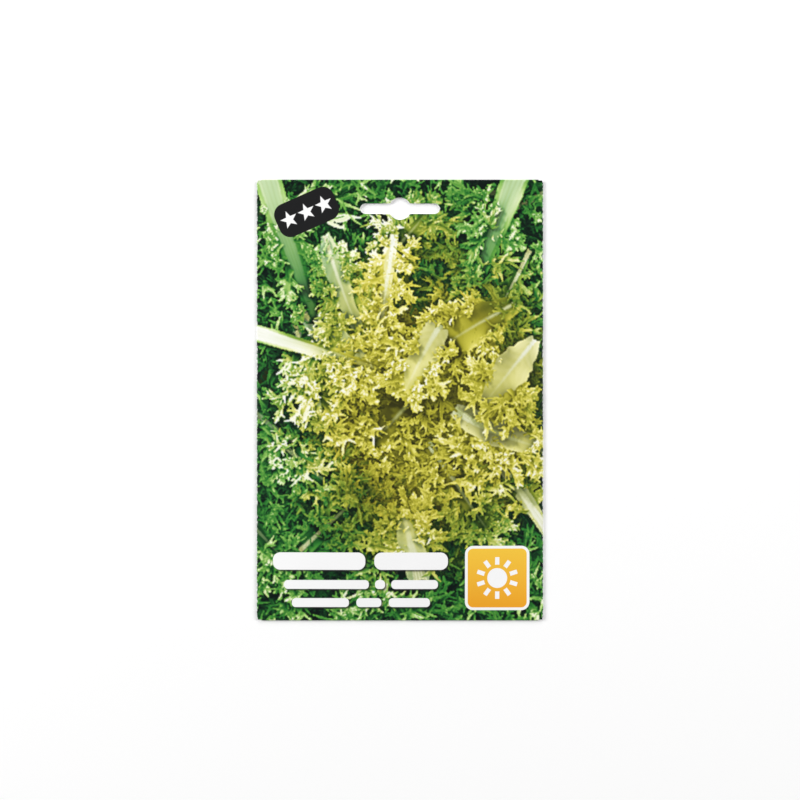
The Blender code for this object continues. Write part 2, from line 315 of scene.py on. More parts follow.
def grown_leaves(chance):
    """Heart leaves in a rosette, outer leaves pointing away from it, and the laid leaves from the list."""
    number = np.arange(HEART_LEAVES)
    age = (number + 0.5) / HEART_LEAVES
    heading = number * GOLDEN_ANGLE + chance.normal(0, 0.3, HEART_LEAVES)
    slope = np.radians(58 - 44 * age**0.6 + chance.normal(0, 9, HEART_LEAVES))
    x = HEART_AT[0] + (2 + 18 * age) * np.cos(heading)
    y = HEART_AT[1] + (2 + 18 * age) * np.sin(heading)
    heart = set_off(x, y, 8 * (1 - age), heading, slope)
    heart_length = (20 + 48 * age) * np.exp(chance.normal(0, 0.12, HEART_LEAVES))

    x, y = chance.uniform(-70, 70, OUTER_LEAVES), chance.uniform(-102, 102, OUTER_LEAVES)
    heading = np.arctan2(y, x) + chance.normal(0, 0.9, OUTER_LEAVES)
    z = chance.uniform(-16, 4, OUTER_LEAVES)
    slope = np.radians(chance.uniform(0, 32, OUTER_LEAVES))
    outer = set_off(x - 18 * np.cos(heading), y - 18 * np.sin(heading), z, heading, slope)
    outer_length, outer_age = chance.uniform(35, 58, OUTER_LEAVES), chance.uniform(0.95, 1.25, OUTER_LEAVES)

    laid = np.array([(*start, *end, *rest) for start, end, *rest in LAID_LEAVES], float)
    x0, y0, x1, y1, top, dip, laid_rib, laid_blade, laid_age, laid_bare = laid.T
    laid_length = np.hypot(x1 - x0, y1 - y0) * 1.04
    placed = set_off(x0, y0, top - dip, np.arctan2(y1 - y0, x1 - x0), 2.2 * dip / laid_length)

    start, way, face = (np.concatenate(parts) for parts in zip(heart, outer, placed))
    length = np.concatenate([heart_length, outer_length, laid_length])
    leaf_age = np.concatenate([age, outer_age, laid_age])
    kind = np.repeat([0, 1, 2], [HEART_LEAVES, OUTER_LEAVES, len(laid)])
    count = len(length)
    bend = np.concatenate([0.3 + 0.5 * age, np.full(OUTER_LEAVES, 0.35), 3.0 * dip / laid_length])
    pitch = bend[:, None] / LEAF_STEPS * np.linspace(0.5, 1.5, LEAF_STEPS)
    sway = np.where(kind == 2, 0.25, 1.0)[:, None]
    pitch = pitch + chance.normal(0, 0.05, (count, LEAF_STEPS)) * sway
    yaw = (chance.normal(0, 0.03, (count, 1)) + chance.normal(0, 0.06, (count, LEAF_STEPS))) * sway
    roll = (chance.normal(0, 0.03, (count, 1)) + chance.normal(0, 0.06, (count, LEAF_STEPS))) * sway
    leaves = Strips(start, way, face, length, pitch, yaw, roll, np.arange(count), 0)

    rib = np.concatenate([0.8 + 1.2 * age, np.full(OUTER_LEAVES, 1.4), laid_rib])[:, None]
    rib = rib * (1 - 0.85 * leaves.along**0.9)
    heart_blade = (3.4 + 2.0 * age) * chance.uniform(0.7, 1.6, HEART_LEAVES)
    blade = np.concatenate([heart_blade, np.full(OUTER_LEAVES, 3.0), laid_blade])[:, None]
    blade = blade * np.sin(math.pi * np.clip(leaves.along**1.1 * 0.94 + 0.03, 0, 1)) ** 0.8
    wander = leaves.along * chance.uniform(18, 40, (count, 1)) + chance.uniform(0, 6, (count, 1))
    blade = blade * (1 + 0.35 * sway * np.sin(wander))
    leaves.widen(chance, rib + blade, cup=chance.uniform(0, 0.4, count),
                 ruffle=chance.uniform(0.2, 0.5, count), waves=chance.uniform(9, 18, count))
    bare = np.concatenate([np.full(HEART_LEAVES + OUTER_LEAVES, 0.1), laid_bare])
    return leaves, rib / (rib + blade), leaf_age, kind, bare


def painted_leaves():
    """Lays the whole plant and returns the picture, with each leaf's age and kind."""
    chance = np.random.default_rng(PLANT_SEED)
    leaves, rib, age, kind, bare = grown_leaves(chance)
    longest = np.where(kind == 2, 10.5, 13 + 8 * np.clip(age, 0, 1))

    def lobe_size(t):
        swell = 0.45 + 0.55 * math.sin(math.pi * min(1, t * 0.9))
        return longest * swell * eased((t - bare) / 0.15 + 0.2)

    lobes = leaves.shoots(chance, range(1, LEAF_STEPS + 1), lobe_size,
                          angle=0.80, curl=0.75, steps=LOBE_STEPS, twist=0.9, stray=0.34)
    count = len(lobes.length)
    half = 0.12 * lobes.length[:, None] * (1 - 0.85 * lobes.along**1.2)
    half = half * (0.8 + 0.3 * np.cos(lobes.along * 9))
    lobes.widen(chance, half + 0.18, cup=chance.normal(0, 0.4, count),
                ruffle=chance.uniform(0.2, 0.5, count), waves=chance.uniform(4, 8, count))
    shoots = lobes.shoots(chance, SHOOT_STATIONS, lambda t: lobes.length * 0.47 * (1 - 0.40 * t),
                          angle=0.66, curl=0.75, steps=SHOOT_STEPS, twist=0.9, stray=0.40)
    count = len(shoots.length)
    half = 0.1 * shoots.length[:, None] * (1 - 0.95 * shoots.along) + 0.12
    shoots.widen(chance, half, cup=chance.normal(0, 0.4, count),
                 ruffle=chance.uniform(0, 0.3, count), waves=chance.uniform(3, 6, count))
    teeth = shoots.shoots(chance, TOOTH_STATIONS, lambda t: shoots.length * 0.58 * (1 - 0.2 * t),
                          angle=0.58, curl=0.5, steps=TOOTH_STEPS, twist=0.6, stray=0.35)
    count = len(teeth.length)
    half = 0.085 * teeth.length[:, None] * (1 - 0.97 * teeth.along) + 0.07
    teeth.widen(chance, half, cup=np.zeros(count), ruffle=np.zeros(count), waves=np.ones(count))

    canvas = Canvas()
    canvas.lay(leaves, rib)
    for strips in (lobes, shoots, teeth):
        canvas.lay(strips)
    canvas.close_pinholes()
    return canvas, age, kind


def lit(height, normal):
    """How light each cell is: open to the sky, facing the sun, and out of the shadow of its neighbours."""
    ground = np.maximum(height, np.percentile(height, 3) - 5)
    open_share = np.ones_like(ground)
    for reach in SKY_REACHES:
        above = blurred(ground, reach / PICTURE_CELL) - ground
        open_share *= 1 - SKY_LOSS * np.clip(above / (1.6 * reach), -0.25, 1.0)
    sun = unit(np.array(SUN_WAY))
    sunlit = np.ones_like(ground)
    for distance in np.geomspace(*SHADOW_REACH, SHADOW_STEPS):
        shift = (round(sun[1] * distance / PICTURE_CELL), round(-sun[0] * distance / PICTURE_CELL))
        over = np.roll(ground, shift, (0, 1)) - ground - sun[2] * distance
        sunlit = np.minimum(sunlit, 1 - np.clip(over / (0.4 + 0.3 * distance), 0, 1))
    facing = normal @ sun
    diffuse = np.clip(facing, 0, 1) * 0.8 + 0.35 * np.clip(-facing, 0, 1) + 0.2
    light = open_share * (0.45 + 0.6 * diffuse * (0.35 + 0.65 * blurred(sunlit, 1.2)))
    dark, bright = np.percentile(light, 3), np.percentile(light, 98.5)
    return np.clip((light - dark) / (bright - dark), 0, 1.15)


def inked(stops, light):
    """The colour, from 0 to 1, that an ink shows at each amount of light."""
    stops = np.array(stops, float)
    return np.stack([np.interp(light, stops[:, 0], stops[:, channel] / 255) for channel in (1, 2, 3)], -1)


def printed_picture():
    """The picture as printed, rows from the top, as sRGB values from 0 to 1."""
    canvas, age, kind = painted_leaves()
    shape = (canvas.rows, canvas.columns)
    height, t, s, tint, rib = (getattr(canvas, name).reshape(shape).astype(float)
                               for name in ("height", "t", "s", "tint", "rib"))
    leaf, order = canvas.leaf.reshape(shape), canvas.order.reshape(shape)
    normal = unit(canvas.normal).reshape(*shape, 3)
    light = lit(height, normal * np.where(normal[..., 2:] < 0, -1, 1))

    x = (np.arange(shape[1]) + 0.5) * PICTURE_CELL - PICTURE_WIDTH / 2
    y = PICTURE_HEIGHT / 2 - (np.arange(shape[0])[:, None] + 0.5) * PICTURE_CELL
    for hollow_x, hollow_y, reach, depth in HOLLOWS:
        light = light * (1 - depth * np.exp(-((x - hollow_x) ** 2 + (y - hollow_y) ** 2) / (2 * reach**2)))
    own = np.maximum(leaf, 0)
    leaf_tone = own * 0.7548 % 1.0
    edge = eased((np.abs(s) - 0.6) / 0.4)
    shown = light - 0.10 + 0.10 * (tint - 0.5) + (order > 0) * (0.06 * (order - 1) + 0.10 * edge)
    green = np.hypot((x - PALE_MIDDLE[0]) / PALE_SPREAD[0], (y - PALE_MIDDLE[1]) / PALE_SPREAD[1]) - 0.60
    green = green + 0.30 * (age[own] - 0.6) + 0.34 * (leaf_tone - 0.5)
    green = green + 0.30 * (0.45 - shown) + 0.22 * (tint - 0.5)
    green = (np.clip(green / 0.62, 0, 1) * 2)[..., None]
    heart, lime, leafy = (inked(ink, shown) for ink in (HEART_INK, LIME_INK, GREEN_INK))
    colour = np.where(green < 1, heart + (lime - heart) * green, lime + (leafy - lime) * (green - 1))

    pale = PALE_HEART * ((kind[own] == 2) & (age[own] < 0.35) & (order == 0)) * (1 - 0.5 * t)
    side_veins = 0.06 * np.sin(60 * t - 7 * np.abs(s)) + 0.10 * np.abs(s)
    colour = colour + (inked(RIB_INK, light * 0.9 + 0.26 + side_veins) - colour) * pale[..., None]
    on_rib = eased((rib - np.abs(s)) / 0.22 + 0.5) * (order == 0) * np.clip(1.25 - t * 1.2, 0, 1)
    on_rib = (on_rib * np.where(kind[own] == 1, 0.4, np.where(age[own] > 0.7, 0.62, 1)))[..., None]
    veins = 0.10 * np.sin(s / np.maximum(rib, 0.05) * 13 + 3 * tint) * (rib > 0.2)
    colour = colour + (inked(RIB_INK, light * 0.9 + 0.18 + veins) - colour) * on_rib
    colour[leaf < 0] = np.array(GROUND_INK) / 255
    colour = np.stack([blurred(colour[..., k], 0.5) for k in range(3)], -1)
    soft = np.stack([blurred(colour[..., k], 1.6) for k in range(3)], -1)
    return np.clip(colour + PRINT_EDGE * (colour - soft), 0, 1)


picture = printed_picture()

# ---------------------------------------------------------------------------------------------------------
# The envelope: one sheet of coated paper, printed, cut with its hang slot, folded along both sides and glued
# up the middle of the back, then closed by a flap folded over each end of the back.

WIDTH = 0.115
HEIGHT = 0.177
PAPER = 0.00015
GLUE = 0.00005
BELLY = 0.0038
HEADER = 0.0265
END_MARGIN = 0.0025
LAP = 0.012
LAP_RAMP = 0.004
BOTTOM_FLAP = 0.016
TOP_FLAP = 0.024
FLAP_INSET = 0.0015
FLAP_TAPER = 0.004
SIDE_RELIEF = 0.0008
SAG_RUN = 0.008

SLOT_LENGTH = 0.032
SLOT_BAR = 0.0042
SLOT_HUMP = 0.009
SLOT_FROM_TOP = 0.0117

LAYER = [PAPER / 2 + n * (PAPER + GLUE) for n in range(4)]
FOLD_BULGE = (LAYER[3] - LAYER[0]) / 2
HALF_X = WIDTH / 2 - FOLD_BULGE - PAPER / 2
HALF_Y = HEIGHT / 2 - FOLD_BULGE - PAPER / 2
POUCH_TOP = HEIGHT / 2 - HEADER
POUCH_BOTTOM = -HEIGHT / 2 + END_MARGIN
POUCH_MIDDLE = (POUCH_TOP + POUCH_BOTTOM) / 2
POUCH_HALF = (POUCH_TOP - POUCH_BOTTOM) / 2
SLOT_Y = HEIGHT / 2 - SLOT_FROM_TOP

# The sheet is laid out flat on a lattice. Four cells by four are a block, which stays one face where nothing
# fine shows. Each run is (from, to, blocks); the fold between two runs is one block, turned half round.
BLOCK = 4
SLOT_ZONE = 0.017
BUCKLE = 0.00011


def run_lines(runs):
    """Lattice lines of one stretch of the sheet, in order, both ends included."""
    lines = [np.linspace(a, b, blocks * BLOCK, endpoint=False) for a, b, blocks in runs]
    return np.concatenate([*lines, [runs[-1][1]]])


def folded_lines(before, middle, after):
    """Flat places along the sheet and how far each is turned, for two folds with a stretch between them."""
    turn = np.linspace(0, math.pi, BLOCK + 1)[1:-1]
    flat = [before, np.full(BLOCK - 1, middle[0]), middle, np.full(BLOCK - 1, middle[-1]), after]
    turns = [np.full(len(before), math.pi), turn[::-1], np.zeros(len(middle)), turn]
    turns.append(np.full(len(after), math.pi))
    return np.concatenate(flat), np.concatenate(turns), [len(part) for part in flat]


def front_height(x, y):
    """The front swells over the sachet, and buckles softly along its sides, where the sheet can't follow."""
    across = np.clip(1 - (x / HALF_X) ** 2, 0, None)
    along = np.clip(1 - ((y - POUCH_MIDDLE) / POUCH_HALF) ** 2, 0, None)
    swell = BELLY * across * along
    edge = np.exp(-(((HALF_X - np.abs(x) - 0.013) / 0.007) ** 2)) * np.clip(along * 3, 0, 1)
    buckles = edge * np.sin(y / 0.0043 + 1.7 * np.sin(y / 0.017) + np.sign(x))
    foot = np.exp(-(((y + HALF_Y - 0.014) / 0.008) ** 2)) * np.clip(across * 2, 0, 1)
    buckles = buckles + foot * np.sin(x / 0.0050 + 1.1 * np.sin(x / 0.013))
    return LAYER[3] + swell + BUCKLE * buckles


def back_height(x, y, right):
    """The back panels: held up a layer by the end flaps, and the right one by the left one at the lap."""
    edge = HALF_Y - np.where(y > 0, TOP_FLAP, BOTTOM_FLAP)
    lift = eased((np.abs(y) - edge + SAG_RUN) / (SAG_RUN - SIDE_RELIEF))
    over_lap = right * (1 - eased((x - LAP / 2 - SIDE_RELIEF) / LAP_RAMP))
    return LAYER[0] + (PAPER + GLUE) * (lift + over_lap)


def slot_distance(x, y):
    """How far a point is outside the hang slot's outline, less than nothing inside it."""
    bar = np.hypot(np.clip(np.abs(x) - (SLOT_LENGTH - SLOT_BAR) / 2, 0, None), y - SLOT_Y) - SLOT_BAR / 2
    hump = np.hypot(x, y - SLOT_Y) - SLOT_HUMP / 2
    return np.minimum(bar, hump)


def lattice():
    """Middle-surface points of the folded sheet, its flat places, and which blocks are cut from the paper."""
    front_x = run_lines([(-HALF_X, -HALF_X + FLAP_INSET, 1), (-HALF_X + FLAP_INSET, HALF_X - FLAP_INSET, 53),
                         (HALF_X - FLAP_INSET, HALF_X, 1)])
    left_x = run_lines([(LAP / 2, -SLOT_ZONE, 12), (-SLOT_ZONE, -HALF_X, 6)])
    right_x = run_lines([(HALF_X, SLOT_ZONE, 6), (SLOT_ZONE, -LAP / 2, 12)])
    front_y = run_lines([(-HALF_Y, -HALF_Y + SIDE_RELIEF, 1),
                         (-HALF_Y + SIDE_RELIEF, HALF_Y - SIDE_RELIEF, 84),
                         (HALF_Y - SIDE_RELIEF, HALF_Y, 1)])
    bottom_y = run_lines([(-HALF_Y + BOTTOM_FLAP, -HALF_Y, 8)])
    top_y = run_lines([(HALF_Y, HALF_Y - TOP_FLAP, 12)])
    flat_x, turn_x, sizes_x = folded_lines(left_x, front_x, right_x)
    flat_y, turn_y, sizes_y = folded_lines(bottom_y, front_y, top_y)

    column, row = np.arange(len(flat_x)), np.arange(len(flat_y))
    left_end, front_start = sizes_x[0] - 1, sizes_x[0] + sizes_x[1]
    front_end = front_start + sizes_x[2] - 1
    body_start = sizes_y[0] + sizes_y[1]
    body_end = body_start + sizes_y[2] - 1
    x, y = np.meshgrid(flat_x, flat_y)
    across_turn, along_turn = np.meshgrid(turn_x, turn_y)
    side = np.where(column < (front_start + front_end) / 2, -1, 1)[None, :]
    end = np.where(row < (body_start + body_end) / 2, -1, 1)[:, None]
    on_flap = along_turn > 0

    flap_length = np.where(end < 0, BOTTOM_FLAP, TOP_FLAP)
    share = np.where(along_turn >= math.pi, (HALF_Y - np.abs(y)) / flap_length, 0)
    x = x * (1 - share * FLAP_TAPER / HALF_X)
    z_front = front_height(x, y)
    z_back = np.where(on_flap, LAYER[0], back_height(x, y, side > 0))
    turn = np.maximum(across_turn, along_turn)
    flat = np.stack([x + side * across_turn * FOLD_BULGE, y + end * along_turn * FOLD_BULGE], -1)
    point_x = x + side * FOLD_BULGE * np.sin(across_turn)
    point_y = y + end * FOLD_BULGE * np.sin(along_turn)
    z = (z_front + z_back) / 2 + (z_front - z_back) / 2 * np.cos(turn)
    point = np.stack([point_x, point_y, z], -1)

    block_column, block_row = column[:-1:BLOCK], row[:-1:BLOCK]
    on_front = (block_column >= front_start) & (block_column < front_end)
    inset = (block_column > front_start) & (block_column < front_end - BLOCK)
    on_body = (block_row >= body_start) & (block_row < body_end)
    relieved = (block_row > body_start) & (block_row < body_end - BLOCK)
    paper = (on_body[:, None] & on_front) | relieved[:, None] | (~on_body[:, None] & inset)
    printed_columns = (block_column >= left_end) & (block_column < front_end + BLOCK)
    printed_rows = (block_row >= body_start - BLOCK) & (block_row < body_end + BLOCK)
    printed = paper & printed_rows[:, None] & printed_columns
    return point, flat, paper, printed


point, flat, paper_blocks, printed_blocks = lattice()
rows, columns = point.shape[:2]

# The slot's outline: points within half a cell of it are moved onto it, and what lies inside is cut out.
SNAP = 0.00025
distance = slot_distance(point[..., 0], point[..., 1])
nudge = 1e-6
slope_x = (slot_distance(point[..., 0] + nudge, point[..., 1]) - distance) / nudge
slope_y = (slot_distance(point[..., 0], point[..., 1] + nudge) - distance) / nudge
snapped = np.abs(distance) <= SNAP
for plane in (point, flat):
    plane[..., 0] -= np.where(snapped, distance * slope_x, 0)
    plane[..., 1] -= np.where(snapped, distance * slope_y, 0)
cut_away = distance < -SNAP
near_slot = (distance < 2 * SNAP) & (distance > -3 * SNAP)


def by_block(marks, combine):
    """Whether any, or all, of each block's lattice points are marked, its rim included."""
    found = [marks[a : rows - BLOCK + a : BLOCK, b : columns - BLOCK + b : BLOCK]
             for a in range(BLOCK + 1) for b in range(BLOCK + 1)]
    return combine(np.stack(found), 0)


paper_blocks &= ~by_block(cut_away, np.all)
slot_blocks = by_block(near_slot, np.any) & paper_blocks
number = np.arange(rows * columns).reshape(rows, columns)


def fine_faces(fine):
    """Two triangles for each cell of the fine blocks, less those inside the slot."""
    j, i = np.nonzero(np.kron(fine, np.ones((BLOCK, BLOCK), bool)))
    a, b, c, d = number[j, i], number[j, i + 1], number[j + 1, i + 1], number[j + 1, i]
    gone = cut_away.ravel()
    other_way = (gone[a] | gone[c]) | (~(gone[b] | gone[d]) & ((i + j) % 2 == 1))
    first = np.where(other_way[:, None], np.stack([a, b, d], 1), np.stack([a, b, c], 1))
    second = np.where(other_way[:, None], np.stack([b, c, d], 1), np.stack([a, c, d], 1))
    faces = np.stack([first, second], 1).reshape(-1, 3)
    block = np.repeat((j // BLOCK) * fine.shape[1] + i // BLOCK, 2)
    middle = point.reshape(-1, 3)[faces].mean(1)
    kept = ~gone[faces].any(1) & (slot_distance(middle[:, 0], middle[:, 1]) > 0)
    return faces[kept], block[kept]


def coarse_faces(coarse, fine):
    """One face for each coarse block, taking in the small points of any side that a fine block shares."""
    faces, blocks = [], []
    padded = np.pad(fine, 1)
    steps = range(BLOCK)
    for bj, bi in zip(*np.nonzero(coarse)):
        j, i = bj * BLOCK, bi * BLOCK
        sides = [
            (padded[bj, bi + 1], [number[j, i + k] for k in steps]),
            (padded[bj + 1, bi + 2], [number[j + k, i + BLOCK] for k in steps]),
            (padded[bj + 2, bi + 1], [number[j + BLOCK, i + BLOCK - k] for k in steps]),
            (padded[bj + 1, bi], [number[j + BLOCK - k, i] for k in steps]),
        ]
        faces.append([n for shared, side in sides for n in (side if shared else side[:1])])
        blocks.append(bj * fine.shape[1] + bi)
    return faces, blocks


def rim_edges(faces):
    """Where the boundary goes from each of its points: the edges that only one face has."""
    edges = {(a, b) for face in faces for a, b in zip(face, face[1:] + face[:1])}
    return {a: b for a, b in edges if (b, a) not in edges}


outer_fine = printed_blocks | slot_blocks
small, small_blocks = fine_faces(outer_fine)
large, large_blocks = coarse_faces(paper_blocks & ~outer_fine, outer_fine)
outer_faces = small.tolist() + large
outer_blocks = np.concatenate([small_blocks, large_blocks]).astype(int)
inner_small, _ = fine_faces(slot_blocks)
inner_faces = inner_small.tolist() + coarse_faces(paper_blocks & ~slot_blocks, slot_blocks)[0]

outer_rim, inner_rim = rim_edges(outer_faces), rim_edges(inner_faces)
edge_faces = []
inner_offset = rows * columns
for start, stop in inner_rim.items():
    chain = [start]
    while chain[-1] != stop:
        chain.append(outer_rim[chain[-1]])
    edge_faces.append(chain[::-1] + [start + inner_offset, stop + inner_offset])

along_x = np.gradient(point, axis=1)
along_y = np.gradient(point, axis=0)
outward = unit(np.cross(along_x, along_y))
skins = np.concatenate([point + outward * PAPER / 2, point - outward * PAPER / 2]).reshape(-1, 3)
inner_flipped = [[n + inner_offset for n in face[::-1]] for face in inner_faces]
all_faces = outer_faces + inner_flipped + edge_faces
used, packed = np.unique(np.concatenate([np.array(face) for face in all_faces]), return_inverse=True)
starts = np.cumsum([0] + [len(face) for face in all_faces])
faces = [packed[a:b].tolist() for a, b in zip(starts[:-1], starts[1:])]

sheet_mesh = bpy.data.meshes.new("folded_sheet")
sheet_mesh.from_pydata(skins[used], [], faces)
PRINTED_SIDE, BACK_SIDE, BARE_SIDE = 0, 1, 2
worn = np.full(len(faces), BARE_SIDE)
worn[: len(outer_faces)] = np.where(printed_blocks.ravel()[outer_blocks], PRINTED_SIDE, BACK_SIDE)
sheet_mesh.polygons.foreach_set("material_index", worn.astype(np.int32))
sheet_mesh.shade_smooth()
sheet_mesh.set_sharp_from_angle(angle=math.radians(60))

# The print goes on as a colour at each corner of each small triangle, the plane that fits the picture best.
FIT_STEPS = 4
FIT_SPREAD = 0.92
corner_shares = [(a, b, FIT_STEPS - a - b) for a in range(FIT_STEPS + 1) for b in range(FIT_STEPS + 1 - a)]
spots = np.array(corner_shares) / FIT_STEPS * FIT_SPREAD + (1 - FIT_SPREAD) / 3
fit = np.linalg.pinv(spots)
places = flat.reshape(-1, 2)[small] * 1000
column = (np.einsum("kc,fcd->fkd", spots, places)[..., 0] + PICTURE_WIDTH / 2) / PICTURE_CELL - 0.5
row = (PICTURE_HEIGHT / 2 - np.einsum("kc,fcd->fkd", spots, places)[..., 1]) / PICTURE_CELL - 0.5
column, row = np.clip(column, 0, picture.shape[1] - 1.01), np.clip(row, 0, picture.shape[0] - 1.01)
low_i, low_j = column.astype(int), row.astype(int)
share_i, share_j = (column - low_i)[..., None], (row - low_j)[..., None]
upper = picture[low_j, low_i] * (1 - share_i) + picture[low_j, low_i + 1] * share_i
lower = picture[low_j + 1, low_i] * (1 - share_i) + picture[low_j + 1, low_i + 1] * share_i
corner = np.clip(np.einsum("ck,fkd->fcd", fit, upper * (1 - share_j) + lower * share_j), 0, 1)
linear = np.where(corner < 0.04045, corner / 12.92, ((corner + 0.055) / 1.055) ** 2.4)
ink = np.ones((len(sheet_mesh.loops), 4), np.float32)
ink[: 3 * len(small), :3] = linear.reshape(-1, 3)
sheet_mesh.color_attributes.new("print", "FLOAT_COLOR", "CORNER").data.foreach_set("color", ink.ravel())

# The map for baking: the printed front takes most of it, and the back and the inside the strip beside it.
MAP_SCALE = 1 / 0.182
PRINT_SPAN = 0.1165
MAP_MARGIN = 0.004
BACK_SIZE, BACK_CORNER = (0.33, 0.60), (0.66, 0.005)
INSIDE_SIZE, INSIDE_CORNER = (0.33, 0.36), (0.66, 0.63)
loop_vertex = np.empty(len(sheet_mesh.loops), np.int32)
sheet_mesh.loops.foreach_get("vertex_index", loop_vertex)
loop_lattice = used[loop_vertex]
loop_side = np.repeat(worn, np.diff(starts))
lattice_place = loop_lattice % inner_offset
lattice_column = lattice_place % columns
lattice_row = lattice_place // columns
map_place = flat.reshape(-1, 2)[lattice_place] * MAP_SCALE
front_map = map_place + (0.5 * PRINT_SPAN * MAP_SCALE + MAP_MARGIN, 0.5)
back_share = np.stack([lattice_column / columns, lattice_row / rows], 1)
back_map = back_share * BACK_SIZE + BACK_CORNER
bare_map = back_share * INSIDE_SIZE + INSIDE_CORNER
laid = np.where((loop_side == PRINTED_SIDE)[:, None], front_map,
                np.where((loop_side == BACK_SIDE)[:, None], back_map, bare_map))
sheet_mesh.uv_layers.new(name="OFBake").uv.foreach_set("vector", laid.astype(np.float32).ravel())

envelope = bpy.data.objects.new("folded_paper_envelope", sheet_mesh)
bpy.context.scene.collection.objects.link(envelope)


class Wire:
    """A shader socket. Sums of wires and numbers add Math nodes."""

    def __init__(self, socket):
        self.socket = socket

    def node(self, kind, settings, sockets, out=0):
        """Any node of the material: its settings first, then its sockets' values or links."""
        tree = self.socket.id_data
        made = tree.nodes.new("ShaderNode" + kind)
        for name, value in settings.items():
            setattr(made, name, value)
        for name, value in sockets.items():
            if isinstance(value, Wire):
                tree.links.new(value.socket, made.inputs[name])
            else:
                made.inputs[name].default_value = value
        return Wire(made.outputs[out])

    def maths(self, operation, *others):
        return self.node("Math", {"operation": operation}, dict(enumerate((self, *others))))

    def __add__(self, other):
        return self.maths("ADD", other)

    def __mul__(self, other):
        return self.maths("MULTIPLY", other)

    def __sub__(self, other):
        return self.maths("SUBTRACT", other)

    def __rsub__(self, other):
        return self.node("Math", {"operation": "SUBTRACT"}, {0: other, 1: self})

    __radd__, __rmul__ = __add__, __mul__

    def __abs__(self):
        return self.maths("ABSOLUTE")

    def least(self, other):
        return self.maths("MINIMUM", other)

    def most(self, other):
        return self.maths("MAXIMUM", other)

    def between(self, low, high):
        """How far the value is from low to high, from 0 to 1."""
        return self.node("MapRange", {"clamp": True}, {"Value": self, "From Min": low, "From Max": high})

    def mixed(self, under, over, kind="MIX"):
        """Two colours mixed by this mask."""
        settings = {"data_type": "RGBA", "blend_type": kind}
        return self.node("Mix", settings, {0: self, 6: under, 7: over}, 2)

    def noise(self, scale, detail=3.0, roughness=0.5):
        sockets = {"Vector": self, "Scale": scale, "Detail": detail, "Roughness": roughness}
        return self.node("TexNoise", {}, sockets)

    def bump(self, height, strength, distance):
        return self.node("Bump", {}, {"Height": height, "Strength": strength, "Distance": distance})

    def split(self):
        """The x, y and z of a vector."""
        parts = self.node("SeparateXYZ", {}, {0: self}).socket.node.outputs
        return [Wire(part) for part in parts]


def new_finish(name, **uniform):
    """A material with its plain values set, its shader, and the object coordinates to work from."""
    made = bpy.data.materials.new(name)
    made.use_nodes = True
    shader = made.node_tree.nodes["Principled BSDF"]
    for socket, value in uniform.items():
        shader.inputs[socket.replace("_", " ")].default_value = value
    coordinates = made.node_tree.nodes.new("ShaderNodeTexCoord").outputs["Object"]

    def connect(**links):
        for socket, wire in links.items():
            made.node_tree.links.new(wire.socket, shader.inputs[socket.replace("_", " ")])

    return made, Wire(coordinates), connect


def box_distance(x, y, centre, half, corner, turn=0.0):
    """How far a point is outside a rounded box, less than nothing inside it."""
    cosine, sine = math.cos(turn), math.sin(turn)
    x, y = x - centre[0], y - centre[1]
    if turn:
        x, y = x * cosine + y * sine, y * cosine - x * sine
    over_x, over_y = abs(x) - (half[0] - corner), abs(y) - (half[1] - corner)
    outside = over_x.most(0.0) * over_x.most(0.0) + over_y.most(0.0) * over_y.most(0.0)
    return outside.maths("SQRT") + over_x.most(over_y).least(0.0) - corner


def inked_area(distance, soft=0.00008):
    """1 inside an outline and 0 outside it, with an edge as soft as ink on paper."""
    return distance.between(soft, -soft)


WHITE = (1.0, 1.0, 1.0, 1.0)
PAPER_WHITE = (0.93, 0.93, 0.92, 1.0)
PLATE_BLACK = (0.012, 0.012, 0.013, 1.0)
SUN_AMBER = (0.90, 0.38, 0.02, 1.0)
SUN_GOLD = (0.98, 0.62, 0.06, 1.0)
LEAF_INK = (0.03, 0.16, 0.06, 1.0)

# Bars stand where words would be: middle, half length and half height of each.
TITLE_Y, TITLE_HALF = -0.0646, 0.0035
TITLE_BARS = [(-0.0510, -0.0139), (-0.0103, 0.0192)]
LINE_HALF = 0.0018
LINES = [(-0.0740, [(-0.0465, -0.0125), (-0.0100, -0.0060), (-0.0035, 0.0152)]),
         (-0.0813, [(-0.0434, -0.0205), (-0.0175, -0.0075), (-0.0045, 0.0120)])]
SHADOW_SHIFT = (0.0006, -0.0007)
BADGE_AT, BADGE_HALF, BADGE_CORNER, BADGE_TURN = (-0.0375, 0.0755), (0.0128, 0.0070), 0.0046, math.radians(24)
STAR_RADIUS, STAR_PITCH = 0.0036, 0.0076
PLATE_AT, PLATE_HALF, PLATE_CORNER, PLATE_BORDER = (0.0390, -0.0714), 0.01295, 0.0033, 0.0011
SUN_RADIUS, RAY_INNER, RAY_OUTER, RAY_HALF, RAYS = 0.0040, 0.0054, 0.0084, 0.00085, 10


def bars_distance(x, y):
    """The nearest of all the bars in the title and the two lines under it."""
    bars = [((a, b), TITLE_Y, TITLE_HALF) for a, b in TITLE_BARS]
    bars += [((a, b), line_y, LINE_HALF) for line_y, words in LINES for a, b in words]
    found = None
    for (a, b), middle, half in bars:
        bar = box_distance(x, y, ((a + b) / 2, middle), ((b - a) / 2, half), half * 0.85)
        found = bar if found is None else found.least(bar)
    return found


def star_distance(x, y, radius):
    """About how far a point is outside a five-pointed star."""
    sector = 2 * math.pi / 5
    around = x.maths("ARCTAN2", y).maths("PINGPONG", sector / 2)
    reach = (x * x + y * y).maths("SQRT")
    tip, dent = radius, radius * 0.42
    edge_x, edge_y = dent * math.sin(sector / 2), dent * math.cos(sector / 2) - tip
    length = math.hypot(edge_x, edge_y)
    normal_x, normal_y = -edge_y / length, edge_x / length
    return reach * around.maths("SINE") * normal_x + (reach * around.maths("COSINE") - tip) * normal_y


